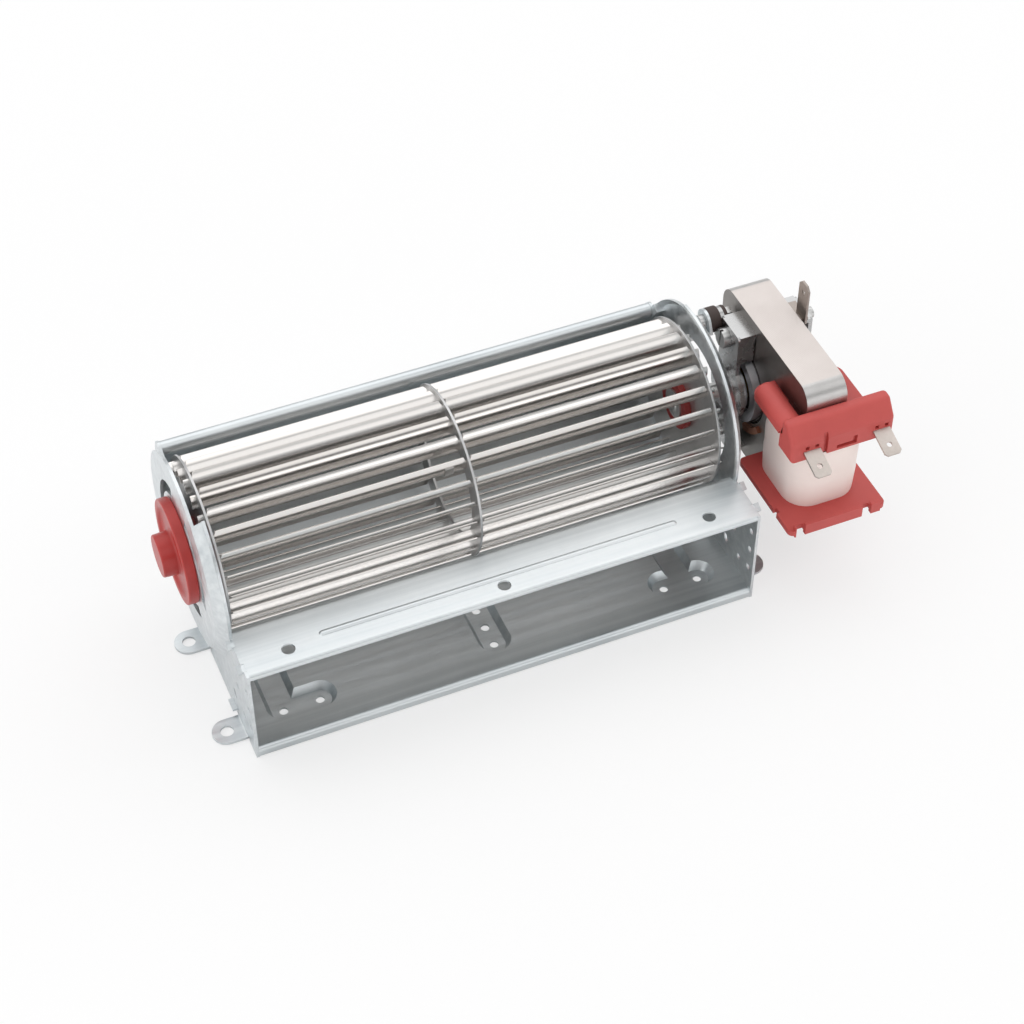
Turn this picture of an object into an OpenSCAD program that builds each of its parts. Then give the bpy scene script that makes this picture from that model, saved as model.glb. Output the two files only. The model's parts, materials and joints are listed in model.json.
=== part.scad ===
// Tangential blower: a bladed drum wheel turns in a folded sheet-steel housing with a
// scroll wall, a tongue plate and two dished end plates. A shaded-pole motor with a
// C-shaped core drives the wheel from one end, and a moulded bearing holder carries the other.
// X runs along the wheel's axis from the bearing end to the motor, Y points away from the
// outlet, and Z is up. The origin is the centre of the four ear holes, on the base plane.
// All pieces are drawn about the wheel's axis with the middle ring at x = 0, and then moved.
// Polar angles count about X from the back (+Y) over the top (+Z).

/* [Wheel] */

// Outside diameter of the drum wheel
wheel_d = 60; // [56:0.5:62]
// Length of the wheel over its end discs
wheel_len = 173.6; // [150:0.2:220]
// Number of blades in the drum
blade_count = 24; // [18:1:28]
// Thickness of a blade
blade_t = 0.5; // [0.4:0.05:0.6]
// Radius of the blade's curve
blade_curve_r = 5.6; // [5.2:0.1:6]
// Thickness of the end discs and the middle ring
disc_t = 0.8; // [0.6:0.1:1]
// Diameter of the shafts
shaft_d = 6; // [5:0.1:6.4]

/* [Housing] */

// Sheet thickness of the scroll wall and the tongue plate
sheet_t = 0.8; // [0.6:0.1:1]
// Sheet thickness of the end plates
end_t = 1; // [0.8:0.1:1.2]
// Free height of the outlet between floor and tongue plate
outlet_h = 35.4; // [34:0.2:37]
// Distance from the axis to the front edge of the duct
duct_reach = 55.3; // [54:0.1:60]
// Clearance between the wheel and the scroll wall, measured from the scroll's centre
scroll_gap = 7.4; // [6.8:0.1:8.5]
// Clearance between the wheel's end disc and the end plate
end_gap = 1.7; // [1.4:0.1:2.5]
// Depth of the dish pressed into each end plate
dish_depth = 3; // [2.5:0.1:3.5]
// Depth of the mounting feet pressed into the floor
foot_drop = 3; // [2.5:0.1:3.5]

/* [Mounting] */

// Diameter of the holes in the four ears
ear_hole_d = 4.5; // [3.5:0.1:5.5]
// Distance between the two ear holes of one end plate
ear_pitch = 41.5; // [40:0.5:43]
// Distance of an ear hole from the outside of its end plate
ear_reach = 5.7; // [5.5:0.1:8]
// Width of an ear
ear_w = 10; // [9:0.5:10]
// Diameter of the holes in the pressed feet
foot_hole_d = 3; // [2.5:0.1:3.5]
// Diameter of the holes in the tongue plate
flange_hole_d = 4.5; // [3.5:0.1:4.8]

/* [Motor] */

// Height of the motor's core
core_h = 61; // [59:0.5:63]
// Thickness of the lamination stack
stack_t = 15; // [12:0.5:20]
// Diameter of the rotor
rotor_d = 29.2; // [28:0.1:29.6]
// Air gap between rotor and core
air_gap = 0.4; // [0.3:0.05:0.5]
// Distance from the right end plate to the core
motor_stand = 21.1; // [20:0.1:24]
// Width of the flat terminals
tab_w = 6.3; // [4.8:0.1:6.3]

/* [Hidden] */

$fn = 64;
// Clearances: a seated round piece, a shaft in its bearing, a tab in its slot
seat_gap = 0.03;
run_gap = 0.03;
slot_gap = 0.1;
// Hair by which a form that is joined to another lies inside its faces
inset = 0.05;

wheel_r = wheel_d / 2;
shaft_r = shaft_d / 2;
half_len = wheel_len / 2;
end_in = half_len + end_gap;
end_out = end_in + end_t;
face_out = end_out + dish_depth;
face_in = face_out - end_t;

// Scroll: a true arc about a point ahead of and below the axis
scroll_y = -3;
scroll_z = -4.3;
scroll_r = wheel_r + scroll_gap;
lip_a = 29.5;
lip_roll_r = 2.5;
lip_turn = 200;
roll_at = scroll_r + lip_roll_r;
roll_y = scroll_y + roll_at * cos(lip_a);
roll_z = scroll_z + roll_at * sin(lip_a);
floor_top = scroll_z - scroll_r;
floor_low = floor_top - sheet_t;
base_z = floor_low - foot_drop;
hem_r = 1.9;
hem_low = base_z + 0.4;
front_y = -duct_reach;

// Tabs of the scroll wall that pass through the end plates
tab_out = 1.7;
scroll_tabs = [20, -25, -70];
scroll_tab_half = 3;
floor_tab_y = -34;
floor_tab_w = 5;

// Feet pressed into the floor: hole places, and the narrow end radius of a foot
foot_y = -41;
foot_x = half_len - 17.7;
foot_pitch = 12.7;
mid_foot_x = -0.7;
mid_foot_pitch = 8.05;
foot_r = 4.4;
foot_slope = 0.6;
foot_skin = sheet_t * sqrt(1 + foot_slope * foot_slope);
foot_tail = 15;

// Tongue plate
flange_top = floor_top + outlet_h + sheet_t;
tongue_gap = 4.4;
nose_r = 2.5;
nose_z = flange_top - nose_r;
nose_at = wheel_r + tongue_gap + nose_r;
nose_y = -sqrt(nose_at * nose_at - nose_z * nose_z);
nose_end = -75;
nose_return = 5;
flange_bend_r = 1.2;
flange_lip = 1.8;
bead_y = front_y + 8.55;
bead_half = half_len - 23.9;
bead_r = 1.5;
bead_rise = 0.6;
flange_hole_x = half_len - 13.2;
flange_hole_y = front_y + 6.5;
mid_hole_y = front_y + 4.8;
flange_tabs = [nose_y - 4.1, front_y + 4.5];
flange_tab_w = 3;
flange_tab_out = 1.8;
flange_tab_turn = 25;

// End plates
rim_r = scroll_r + 0.8;
plate_r = -(base_z - scroll_z);
dish_face_r = wheel_r + 3.4;
dish_rim_r = wheel_r + 7.2;
dish_run = (dish_rim_r - dish_face_r) / dish_depth;
dish_skin = end_t * sqrt(1 + dish_run * dish_run);
back_wall_r = wheel_r + 2.8;
back_from = -38;
back_to = 35;
left_open = [30.2, 123];
right_open = [30.2, 80];
lip_at = sqrt(roll_y * roll_y + roll_z * roll_z);
lip_at_a = atan2(roll_z, roll_y);
right_cut_r = wheel_r + 5;
span_lap = 1;
ear_y = -41.8;
ear_bend = 0.5;
ear_notch = 1;
// Small holes of an end plate, as offsets (y, z) from its lower front corner
plate_holes = [[3.4, 29.8], [3.1, 21.2], [3.2, 12.5], [10, 10.7], [14.6, 20.3]];
plate_hole_r = 1.2;
plate_slot = [19.6, 10.8];

// Face of the left end plate: three slots round the bearing seat
slot_in_r = 19.5;
slot_out_r = 23.5;
slot_half = 42;
slot_angles = [35, 155, 275];
seat_hole_r = 12;
core_r = seat_hole_r - 2;
left_cut_r = core_r - 1;
hollow_r = slot_out_r + 4.5;

// Bearing holder
holder_r = 18;
holder_t = 3.7;
holder_edge = 1;
holder_hub_r = 7.5;
holder_len = 8.5;
holder_wall = 1.2;
bush_cavity_r = 6.4;
bush_half = 3.3;
bush_x = -(face_out + 3);
stub_end = -(face_out + holder_len - holder_wall - 0.6);

// Wheel details
blade_in_r = wheel_r - 6.2;
blade_sweep = 70;
blade_over = 2;
blade_seat_r = wheel_r - 1.8;
blade_cut = 2.2;
ring_in_r = wheel_r - 8;
hub_r = 9.5;
hub_neck_r = 8;
hub_in = 2.2;
hub_lip = 2;
hub_bush_r = 5.5;
clip_x = -6.5;
clip_len = 3;
clip_t = 0.4;
clip_blade = 9;

// Motor: the core lies crosswise, with its coil leg at the front
core_x = end_out + motor_stand;
core_x2 = core_x + stack_t;
core_half = core_h / 2;
core_front = -42.3;
core_back = 19.3;
core_corner = 6.6;
leg_back = -30.3;
window_back = -19.5;
arm_z = core_half - 12.5;
bore_r = rotor_d / 2 + air_gap;
key_w = 5;
key_h = 2;
screw_y = 3;
screw_z = 21;
screw_r = 2;
cage_bars = 17;
cage_bar_r = 1;
cage_at = 12;

// Bobbin and coil
bob_wall = 1.2;
bob_flange_t = 2;
bob_half = arm_z - 0.5 - bob_flange_t;
coil_x = [105, 132];
coil_y = [-50, -20];
coil_corner = 9;
tape_t = 0.6;
upper_x = [101.5, 134.5];
lower_x = [100, 136.6];
lower_front = -58;
block_x = [101.3, 139.8];
block_y = [-50.8, -42.4];
block_z = [10, 23.5];
skirt_y = -41;
cheek_t = 1.4;
lobe_r = 4.2;
lobe_len = 21.4;
lobe_round = 2;
block_slot_x = [113.3, 114.9];
block_slot_z = [9, 19];
corner_slot_x = [118.5, 126];
corner_slot_z = [10.9, 14.4];
corner_slot_w = 1.5;
front_cut_y = -49.6;
term_mark = [1.1, 2.5];
term_mark_z = [14.4, 15.8];
rim_notch_x = [102.5, 127.6];
rim_notch_w = 3.4;
rim_wall = 1.6;
rim_h = 4.6;
term_x = [109, 135];
term_t = 0.8;
term_len = 14;
term_drop = 18;
term_tip = 1;
term_hole_r = 0.95;
term_root = [-47, 14.6];
block_ref = 110.6;
block_shift = core_x - block_ref;

// Brackets, mirrored about the middle of the stack
brk_w = 13;
brk_t = 1.5;
brk_stand = 5.1;
brk_half = 26.5;
boss_r = 9;
boss_len = 5;
cup_r = 7.6;
bracket_x = core_x - brk_stand - brk_t;
brg_r = 6.4;
brg_half = 2.6;
brg_x = bracket_x - 0.4 + 0.9 + brg_half;
core_mid = core_x + stack_t / 2;

// Rubber mounts between the right end plate's arms and the front bracket
arm_a = 64.4;
arm_at = 25.5;
arm_w = 9;
arm_x = bracket_x - 4;
arm_r = slot_out_r - 2;
grommet_r = 4.5;
mount_screw_r = 1.5;
mount_head_r = 2.7;
mount_head_h = 2;
mount_nut_h = 2;
mount_nut_r = 3;
grommet_lip = 1.4;
grommet_end = bracket_x + brk_t + grommet_lip;

// Colours as seen on the object
zinc = [0.78, 0.79, 0.80];
bright = [0.88, 0.86, 0.84];
red = [0.74, 0.20, 0.18];
core_grey = [0.76, 0.72, 0.69];
tape_white = [0.93, 0.90, 0.87];
dark = [0.20, 0.16, 0.15];
steel = [0.70, 0.70, 0.71];
bronze = [0.66, 0.50, 0.30];
copper = [0.72, 0.42, 0.28];
felt_grey = [0.55, 0.50, 0.45];

// Moves a piece from the wheel's axis to its place over the base plane
module placed()
{
    translate([0, -(ear_y + ear_pitch / 2), -base_z]) children();
}

// Local X points radially at polar angle 0, local Z runs along the wheel's axis
module about_x(x0 = 0, a = 0)
{
    rotate([90, 0, 90]) translate([0, 0, x0]) rotate([0, 0, a]) children();
}

// An outline drawn in (y, z), drawn out along X
module along_x(x0, len)
{
    about_x(x0) linear_extrude(len) children();
}

module rod(r, x0, x1)
{
    about_x(x0) cylinder(r = r, h = x1 - x0);
}

module tube(r_in, r_out, x0, x1)
{
    difference() {
        rod(r_out, x0, x1);
        rod(r_in, x0 - 1, x1 + 1);
    }
}

// Part of a ring between two polar angles
module sector(r_in, r_out, x0, x1, a0, a1)
{
    about_x(x0, a0) rotate_extrude(angle = a1 - a0)
        translate([r_in, 0]) square([r_out - r_in, x1 - x0]);
}

// Part of a cone frustum about X round an open middle: radius r0 at x0 and r1 at x1
module cone_sector(r_in, r0, r1, x0, x1, a0, a1)
{
    about_x(x0, a0) rotate_extrude(angle = a1 - a0)
        polygon([[r_in, 0], [r0, 0], [r1, x1 - x0], [r_in, x1 - x0]]);
}

module box(lo, hi)
{
    translate(lo) cube(hi - lo);
}

// Rectangle with round corners, between two opposite corners
module round_rect(lo, hi, r)
{
    translate([lo.x + r, lo.y]) square([hi.x - lo.x - 2 * r, hi.y - lo.y]);
    translate([lo.x, lo.y + r]) square([hi.x - lo.x, hi.y - lo.y - 2 * r]);
    for (u = [lo.x + r, hi.x - r], v = [lo.y + r, hi.y - r])
        translate([u, v]) circle(r);
}

// Pressed channels standing on z = 0, with sloped sides: a cone at each end point,
// and a straight run along each line
module channel_form(ends, runs, r_low, h)
{
    r_top = r_low + foot_slope * h;
    side = 0.985;
    for (c = ends) translate([c.x, c.y, 0]) cylinder(r1 = r_low, r2 = r_top, h = h);
    for (l = runs) {
        d = l[1] - l[0];
        translate([l[0].x, l[0].y, 0]) rotate([0, 0, atan2(d.y, d.x)])
            rotate([90, 0, 90]) linear_extrude(norm(d))
                polygon([[-side * r_low, 0], [side * r_low, 0], [side * r_top, h], [-side * r_top, h]]);
    }
}

// The three pressed feet, each as its end points and its runs
function foot_at(x, dy = 0) = [x, foot_y + dy];
foot_far = foot_x + foot_pitch / 2;
foot_near = foot_x - foot_pitch / 2;
mid_end = 2 * mid_foot_pitch - 0.3;
feet = [
    [[foot_at(-foot_far), foot_at(-foot_near), foot_at(-foot_far, foot_tail)],
        [[foot_at(-foot_far), foot_at(-foot_near)],
            [foot_at(-foot_far), foot_at(-foot_far, foot_tail)]]],
    [[foot_at(foot_far), foot_at(foot_near), foot_at(foot_x + 1, foot_tail)],
        [[foot_at(foot_near), foot_at(foot_far)],
            [foot_at(foot_x + 1), foot_at(foot_x + 1, foot_tail)]]],
    [[foot_at(mid_foot_x, -0.3), foot_at(mid_foot_x, mid_end)],
        [[foot_at(mid_foot_x, -0.3), foot_at(mid_foot_x, mid_end)]]]
];

foot_holes = concat(
    [for (s = [-1, 1], e = [-1, 1]) [s * foot_x + e * foot_pitch / 2, foot_y]],
    [for (i = [0:2]) foot_at(mid_foot_x, i * mid_foot_pitch - 0.3)]);

module scroll_wall()
{
    half = end_in;
    color(zinc) placed() difference() {
        union() {
            translate([0, scroll_y, scroll_z])
                sector(scroll_r, scroll_r + sheet_t, -half, half, -90, lip_a);
            translate([0, roll_y, roll_z])
                sector(lip_roll_r - sheet_t + inset, lip_roll_r - inset, -half + inset,
                    half - inset, lip_a + 180 - lip_turn, lip_a + 185);
            box([-half, front_y + hem_r, floor_low], [half, scroll_y, floor_top]);
            translate([0, front_y + hem_r, floor_top - hem_r])
                sector(hem_r - sheet_t, hem_r, -half, half, 90, 180);
            box([-half, front_y, hem_low], [half, front_y + sheet_t, floor_top - hem_r]);
            // tabs through both end plates
            for (s = [0, 1]) mirror([s, 0, 0]) {
                for (a = scroll_tabs)
                    translate([0, scroll_y, scroll_z])
                        sector(scroll_r + inset, scroll_r + sheet_t - inset,
                            half - 1, end_out + tab_out, a - scroll_tab_half, a + scroll_tab_half);
                box([half - 1, floor_tab_y - floor_tab_w / 2, floor_low + inset],
                    [end_out + tab_out, floor_tab_y + floor_tab_w / 2, floor_top - inset]);
            }
            for (f = feet)
                translate([0, 0, base_z]) channel_form(f[0], f[1], foot_r, foot_drop);
        }
        for (f = feet)
            translate([0, 0, base_z + sheet_t])
                channel_form(f[0], f[1], foot_r + foot_slope * sheet_t - foot_skin, foot_drop + 0.5);
        for (p = foot_holes)
            translate([p.x, p.y, base_z - 1]) cylinder(d = foot_hole_d, h = sheet_t + 2);
    }
}

// A straight bead with ball ends, turned about its own axis
module bead(r)
{
    translate([-bead_half, bead_y, flange_top + bead_rise - bead_r])
        rotate([0, 90, 0]) rotate_extrude() intersection() {
            union() {
                translate([0, r]) circle(r);
                translate([0, r]) square([r, 2 * (bead_half - r)]);
                translate([0, 2 * bead_half - r]) circle(r);
            }
            translate([0, -1]) square([r + 1, 2 * bead_half + 2]);
        }
}

module tongue_plate()
{
    half = end_in;
    flange_low = flange_top - sheet_t;
    color(zinc) placed() difference() {
        union() {
            box([-half, front_y + flange_bend_r, flange_low], [half, nose_y, flange_top]);
            translate([0, front_y + flange_bend_r, flange_top - flange_bend_r])
                sector(flange_bend_r - sheet_t, flange_bend_r, -half, half, 90, 180);
            box([-half, front_y, flange_top - flange_lip],
                [half, front_y + sheet_t, flange_top - flange_bend_r]);
            translate([0, nose_y, nose_z]) {
                sector(nose_r - sheet_t + inset, nose_r - inset, -half + inset,
                    half - inset, nose_end - 5, 100);
                about_x(-half, nose_end) translate([nose_r - sheet_t, -nose_return, 0])
                    cube([sheet_t, nose_return, 2 * half]);
            }
            intersection() {
                bead(bead_r);
                box([-half, bead_y - 5, flange_low + 0.1], [half, bead_y + 5, flange_top + 5]);
            }
            // twisted tabs that hold the plate in both end plates
            for (s = [0, 1], y = flange_tabs) mirror([s, 0, 0]) {
                box([half - 1, y - flange_tab_w / 2, flange_low + inset],
                    [end_out + 0.3, y + flange_tab_w / 2, flange_top - inset]);
                translate([end_out + 0.2, y, flange_top - sheet_t / 2])
                    rotate([flange_tab_turn, 0, 0])
                        translate([0, -flange_tab_w / 2, -sheet_t / 2])
                            cube([flange_tab_out - 0.2, flange_tab_w, sheet_t]);
            }
        }
        bead_in = bead_r - sheet_t;
        intersection() {
            translate([0, bead_y, flange_top + bead_rise - bead_r])
                rod(bead_in, -bead_half + bead_r, bead_half - bead_r);
            box([-half, bead_y - 5, flange_low - 5], [half, bead_y + 5, flange_top]);
        }
        for (x = [-flange_hole_x, flange_hole_x])
            translate([x, flange_hole_y, flange_low - 1])
                cylinder(d = flange_hole_d, h = sheet_t + 2);
        translate([mid_foot_x, mid_hole_y, flange_low - 1])
            cylinder(d = flange_hole_d, h = sheet_t + 2);
    }
}

// Outline of an end plate in (y, z)
module plate_outline()
{
    difference() {
        translate([scroll_y, scroll_z]) circle(r = plate_r, $fn = 128);
        translate([scroll_y - 60, flange_top]) square([60, 100]);
    }
    circle(r = rim_r, $fn = 128);
    translate([front_y, base_z]) square([5 - front_y, flange_top - base_z]);
}

module ear(y)
{
    bend_x = end_out + ear_bend;
    bend_z = base_z + end_t + ear_bend;
    hole_x = end_out + ear_reach;
    difference() {
        union() {
            translate([bend_x, y + ear_w / 2, bend_z]) rotate([90, 0, 0])
                rotate([0, 0, 180]) rotate_extrude(angle = 90)
                    translate([ear_bend, 0]) square([end_t, ear_w]);
            box([bend_x, y - ear_w / 2, base_z], [hole_x, y + ear_w / 2, base_z + end_t]);
            translate([hole_x, y, base_z]) cylinder(d = ear_w, h = end_t);
            box([end_in, y - ear_w / 2, bend_z], [end_out, y + ear_w / 2, bend_z + 1]);
        }
        translate([hole_x, y, base_z - 1]) cylinder(d = ear_hole_d, h = end_t + 2);
    }
}

// Right-hand end plate without its face details. open_a is the span of polar angles
// over which the dish has no side beyond cut_r, cone_a the span of its sloped side.
module plate_body(open_a, cut_r, cone_a)
{
    in_rim = dish_rim_r + dish_run * end_t - dish_skin;
    in_face = in_rim - dish_run * dish_depth;
    rod(dish_face_r - inset, face_in - inset, face_out);
    for (y = [ear_y, ear_y + ear_pitch]) ear(y);
    difference() {
        union() {
            along_x(end_in, end_t) plate_outline();
            cone_sector(core_r, dish_rim_r, dish_face_r, end_out, face_out - inset,
                cone_a[0], cone_a[1]);
            sector(hollow_r - 3, back_wall_r, end_out, face_in + 0.5,
                back_from - span_lap, back_to + span_lap);
        }
        // hollow of the dish: an end wall is left where its side steps inwards
        rod(hollow_r, end_in - 1, face_in);
        cone_sector(hollow_r - 1, in_rim, in_face, end_in, face_in,
            cone_a[0] + 2 * span_lap, cone_a[1] - 2 * span_lap);
        sector(hollow_r - 1, back_wall_r - end_t, end_in - 1, face_in,
            back_from - 3 * span_lap, back_to + 3 * span_lap);
        sector(cut_r, rim_r + 12, end_in - 1, face_out + 1, open_a[0], open_a[1]);
        // the corner behind the lip follows the lip's roll
        difference() {
            sector(lip_at, rim_r + 12, end_in - 1, end_out + 1, lip_at_a, open_a[0] + span_lap);
            translate([0, roll_y, roll_z]) rod(lip_roll_r + 0.1, end_in - 2, end_out + 2);
        }
        // slots for the scroll wall's tabs
        translate([0, scroll_y, scroll_z]) for (a = scroll_tabs)
            sector(scroll_r - slot_gap, scroll_r + sheet_t + slot_gap, end_in - 1, end_out + 1,
                a - scroll_tab_half - 0.2, a + scroll_tab_half + 0.2);
        box([end_in - 1, floor_tab_y - floor_tab_w / 2 - slot_gap, floor_low - slot_gap],
            [end_out + 1, floor_tab_y + floor_tab_w / 2 + slot_gap, floor_top + slot_gap]);
        for (y = flange_tabs)
            box([end_in - 1, y - flange_tab_w / 2 - slot_gap, flange_top - sheet_t - slot_gap],
                [end_out + 1, y + flange_tab_w / 2 + slot_gap, flange_top + 1]);
        for (h = plate_holes)
            about_x(end_in - 1) translate([front_y + h.x, base_z + h.y, 0])
                cylinder(r = plate_hole_r, h = end_t + 2);
        about_x(end_in - 1) translate([front_y + plate_slot.x, base_z + plate_slot.y, 0]) {
            for (s = [-1, 1]) rotate([0, 0, 60]) translate([0.8 * s, 0, 0])
                cylinder(r = plate_hole_r, h = end_t + 2);
            rotate([0, 0, 60]) translate([-0.8, -0.98 * plate_hole_r, 0])
                cube([1.6, 1.96 * plate_hole_r, end_t + 2]);
        }
        // room for the ears' bends, with a relief notch on both sides
        for (y = [ear_y, ear_y + ear_pitch])
            box([end_in - 1, y - ear_w / 2 - ear_notch, base_z - 1],
                [end_out + 1, y + ear_w / 2 + ear_notch, base_z + end_t + ear_bend]);
    }
}

module left_end_plate()
{
    color(zinc) placed() mirror([1, 0, 0]) {
        difference() {
            plate_body(left_open, left_cut_r, [left_open[1] - 3, 360 + back_from]);
            for (a = slot_angles)
                sector(slot_in_r, slot_out_r, face_in - 1, face_out + 1,
                    a - slot_half, a + slot_half);
            rod(seat_hole_r, face_in - 1, face_out + 1);
        }
    }
}

module right_end_plate()
{
    color(zinc) placed() difference() {
        union() {
            difference() {
                plate_body(right_open, right_cut_r, [right_open[0] + 4, 360 + back_from]);
                rod(slot_out_r, face_in - 1, face_out + 1);
            }
            for (a = [arm_a, -arm_a]) about_x(face_in, a) {
                translate([arm_r, -arm_w / 2, inset])
                    cube([slot_out_r + 1 - arm_r, arm_w, end_t - 2 * inset]);
                translate([arm_r, -arm_w / 2, inset])
                    cube([end_t, arm_w, arm_x - face_in - inset]);
                translate([arm_r, -arm_w / 2, arm_x - end_t - face_in])
                    cube([arm_at - arm_r, arm_w, end_t]);
                translate([arm_at, 0, arm_x - end_t - face_in]) cylinder(d = arm_w, h = end_t);
            }
        }
        for (a = [arm_a, -arm_a]) about_x(arm_x - 3, a)
            translate([arm_at, 0, 0]) cylinder(r = mount_screw_r + 0.1, h = 5);
    }
}

// Moulded holder: a disc with a rounded rim, a closed hub and a cavity for the bush
module bearing_holder()
{
    color(red) placed() mirror([1, 0, 0]) difference() {
        about_x(face_out) rotate_extrude() difference() {
            union() {
                square([holder_r - holder_edge, holder_t]);
                square([holder_r, holder_t - holder_edge]);
                translate([holder_r - holder_edge, holder_t - holder_edge]) circle(holder_edge);
                square([holder_hub_r, holder_len - holder_edge]);
                square([holder_hub_r - holder_edge, holder_len]);
                translate([holder_hub_r - holder_edge, holder_len - holder_edge])
                    circle(holder_edge);
                translate([0, -end_t]) square([seat_hole_r - seat_gap, end_t + 1]);
            }
            translate([-5, -5]) square([5, 20]);
        }
        rod(bush_cavity_r, face_in - 1, face_out + holder_len - holder_wall);
    }
}

// Self-aligning bush: a ball with flat ends and a bore
module ball_bush(x, r, half, bore)
{
    difference() {
        intersection() {
            translate([x, 0, 0]) rotate([0, 90, 0]) sphere(r);
            rod(r + 1, x - half, x + half);
        }
        rod(bore, x - half - 1, x + half + 1);
    }
}

module bearing_bush()
{
    color(bronze) placed() ball_bush(bush_x, bush_cavity_r - seat_gap, bush_half, shaft_r + run_gap);
}

module bearing_felt()
{
    color(felt_grey) placed() tube(shaft_r + 0.3, bush_cavity_r - seat_gap,
        bush_x - bush_half - 0.9, bush_x - bush_half);
}

module bearing_washer()
{
    color(steel) placed() tube(shaft_r + 0.6, bush_cavity_r - seat_gap,
        bush_x + bush_half, bush_x + bush_half + 0.5);
}

// One blade: an arc strip whose inner edge is radial and whose outer edge leans forward
module blade_form(x0, x1, grow)
{
    about_x(x0) translate([blade_in_r, -blade_curve_r, 0]) rotate([0, 0, 90 - blade_sweep - grow * 8])
        rotate_extrude(angle = blade_sweep + grow * 16)
            translate([blade_curve_r - blade_t / 2 - grow, 0])
                square([blade_t + 2 * grow, x1 - x0]);
}

module each_blade()
{
    for (i = [0:blade_count - 1]) rotate([i * 360 / blade_count, 0, 0]) children();
}

// The blades' outer corners are cut beside the discs and the ring
module blades()
{
    top = wheel_r + 1;
    cut_at = half_len - disc_t - blade_cut;
    color(bright) placed() difference() {
        each_blade() blade_form(-half_len - blade_over, half_len + blade_over, 0);
        about_x(0) rotate_extrude()
            polygon([[blade_seat_r, -disc_t / 2], [top, -disc_t / 2 - blade_cut],
                [top, disc_t / 2 + blade_cut], [blade_seat_r, disc_t / 2]]);
        for (s = [0, 1]) mirror([s, 0, 0]) about_x(0) rotate_extrude()
            polygon([[blade_seat_r, half_len - disc_t], [top, cut_at],
                [top, half_len + blade_over + 1], [blade_seat_r, half_len + blade_over + 1]]);
    }
}

module slotted_disc(x0, r_hole)
{
    difference() {
        tube(r_hole, wheel_r, x0, x0 + disc_t);
        difference() {
            each_blade() blade_form(x0 - 1, x0 + disc_t + 1, seat_gap);
            tube(blade_seat_r + seat_gap, wheel_r + 2, x0 - 2, x0 + disc_t + 2);
        }
    }
}

module left_disc()
{
    color(bright) placed() slotted_disc(-half_len, hub_neck_r);
}

module right_disc()
{
    color(bright) placed() slotted_disc(half_len - disc_t, hub_neck_r);
}

module middle_ring()
{
    color(bright) placed() slotted_disc(-disc_t / 2, ring_in_r);
}

// Rubber hub on the right-hand end: it grips the disc's hole with a groove
module hub_form()
{
    difference() {
        union() {
            rod(hub_r, half_len - disc_t - hub_in, half_len - disc_t);
            rod(hub_neck_r - seat_gap, half_len - disc_t - 1, half_len + hub_lip);
            rod(hub_r, half_len, half_len + hub_lip);
        }
        rod(hub_bush_r + seat_gap, half_len - hub_in - 5, half_len + hub_lip + 1);
    }
}

module hub_bush_form()
{
    tube(shaft_r + seat_gap, hub_bush_r, half_len - disc_t - hub_in - 0.5, half_len + hub_lip + 0.3);
}

module left_hub()
{
    color(red) placed() mirror([1, 0, 0]) hub_form();
}

module right_hub()
{
    color(red) placed() hub_form();
}

module left_hub_bush()
{
    color(steel) placed() mirror([1, 0, 0]) hub_bush_form();
}

module right_hub_bush()
{
    color(steel) placed() hub_bush_form();
}

module shaft_form(x0, x1)
{
    c = 0.5;
    about_x(x0) rotate_extrude()
        polygon([[0, 0], [shaft_r - c, 0], [shaft_r, c], [shaft_r, x1 - x0 - c],
            [shaft_r - c, x1 - x0], [0, x1 - x0]]);
}

module stub_shaft()
{
    color(steel) placed() shaft_form(stub_end, -(half_len - disc_t - hub_in - 1));
}

module motor_shaft()
{
    color(steel) placed() shaft_form(half_len - disc_t - hub_in - 1, core_x2 + brk_stand + brk_t + 4);
}

// Spring clip that balances the wheel, pushed over one blade's inner edge
module balance_clip()
{
    skin = blade_t / 2 + seat_gap;
    color(steel) placed() rotate([clip_blade * 360 / blade_count, 0, 0])
        about_x(clip_x - clip_len / 2) translate([blade_in_r, -blade_curve_r, 0]) {
            for (r = [blade_curve_r + skin, blade_curve_r - skin - clip_t])
                rotate([0, 0, 45]) rotate_extrude(angle = 51)
                    translate([r, 0]) square([clip_t, clip_len]);
            translate([-0.9, blade_curve_r - skin - clip_t - 2 * inset, -inset])
                cube([clip_t, 2 * (skin + clip_t + 2 * inset), clip_len + 2 * inset]);
        }
}

module rotor_stack()
{
    color(steel) placed() difference() {
        rod(rotor_d / 2, core_x, core_x2);
        rod(shaft_r + seat_gap, core_x - 1, core_x2 + 1);
        for (i = [0:cage_bars - 1]) about_x(core_x - 1, i * 360 / cage_bars)
            translate([cage_at, 0, 0]) cylinder(r = cage_bar_r + seat_gap, h = stack_t + 2);
    }
}

module rotor_cage()
{
    ring_t = 2.8;
    color(steel) placed() {
        tube(10, rotor_d / 2 - 1, core_x - ring_t, core_x);
        tube(10, rotor_d / 2 - 1, core_x2, core_x2 + ring_t);
        for (i = [0:cage_bars - 1]) about_x(core_x - 1, i * 360 / cage_bars)
            translate([cage_at, 0, 0]) cylinder(r = cage_bar_r, h = stack_t + 2);
    }
}

// Dovetail of the coil leg in the ends of the arms
module key_outline(grow)
{
    w = key_w / 2 + grow;
    for (s = [0, 1]) mirror([0, s])
        translate([(core_front + leg_back) / 2, arm_z])
            polygon([[-w + 0.8, -0.5], [w - 0.8, -0.5], [w, key_h + grow], [-w, key_h + grow]]);
}

module shade_slots(x0, x1, grow)
{
    for (a = [40, 220], d = [0, 32]) about_x(x0, a + d)
        translate([bore_r + 1.4 - grow, -1 - grow, 0])
            cube([2 + 2 * grow, 2 + 2 * grow, x1 - x0]);
}

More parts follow.
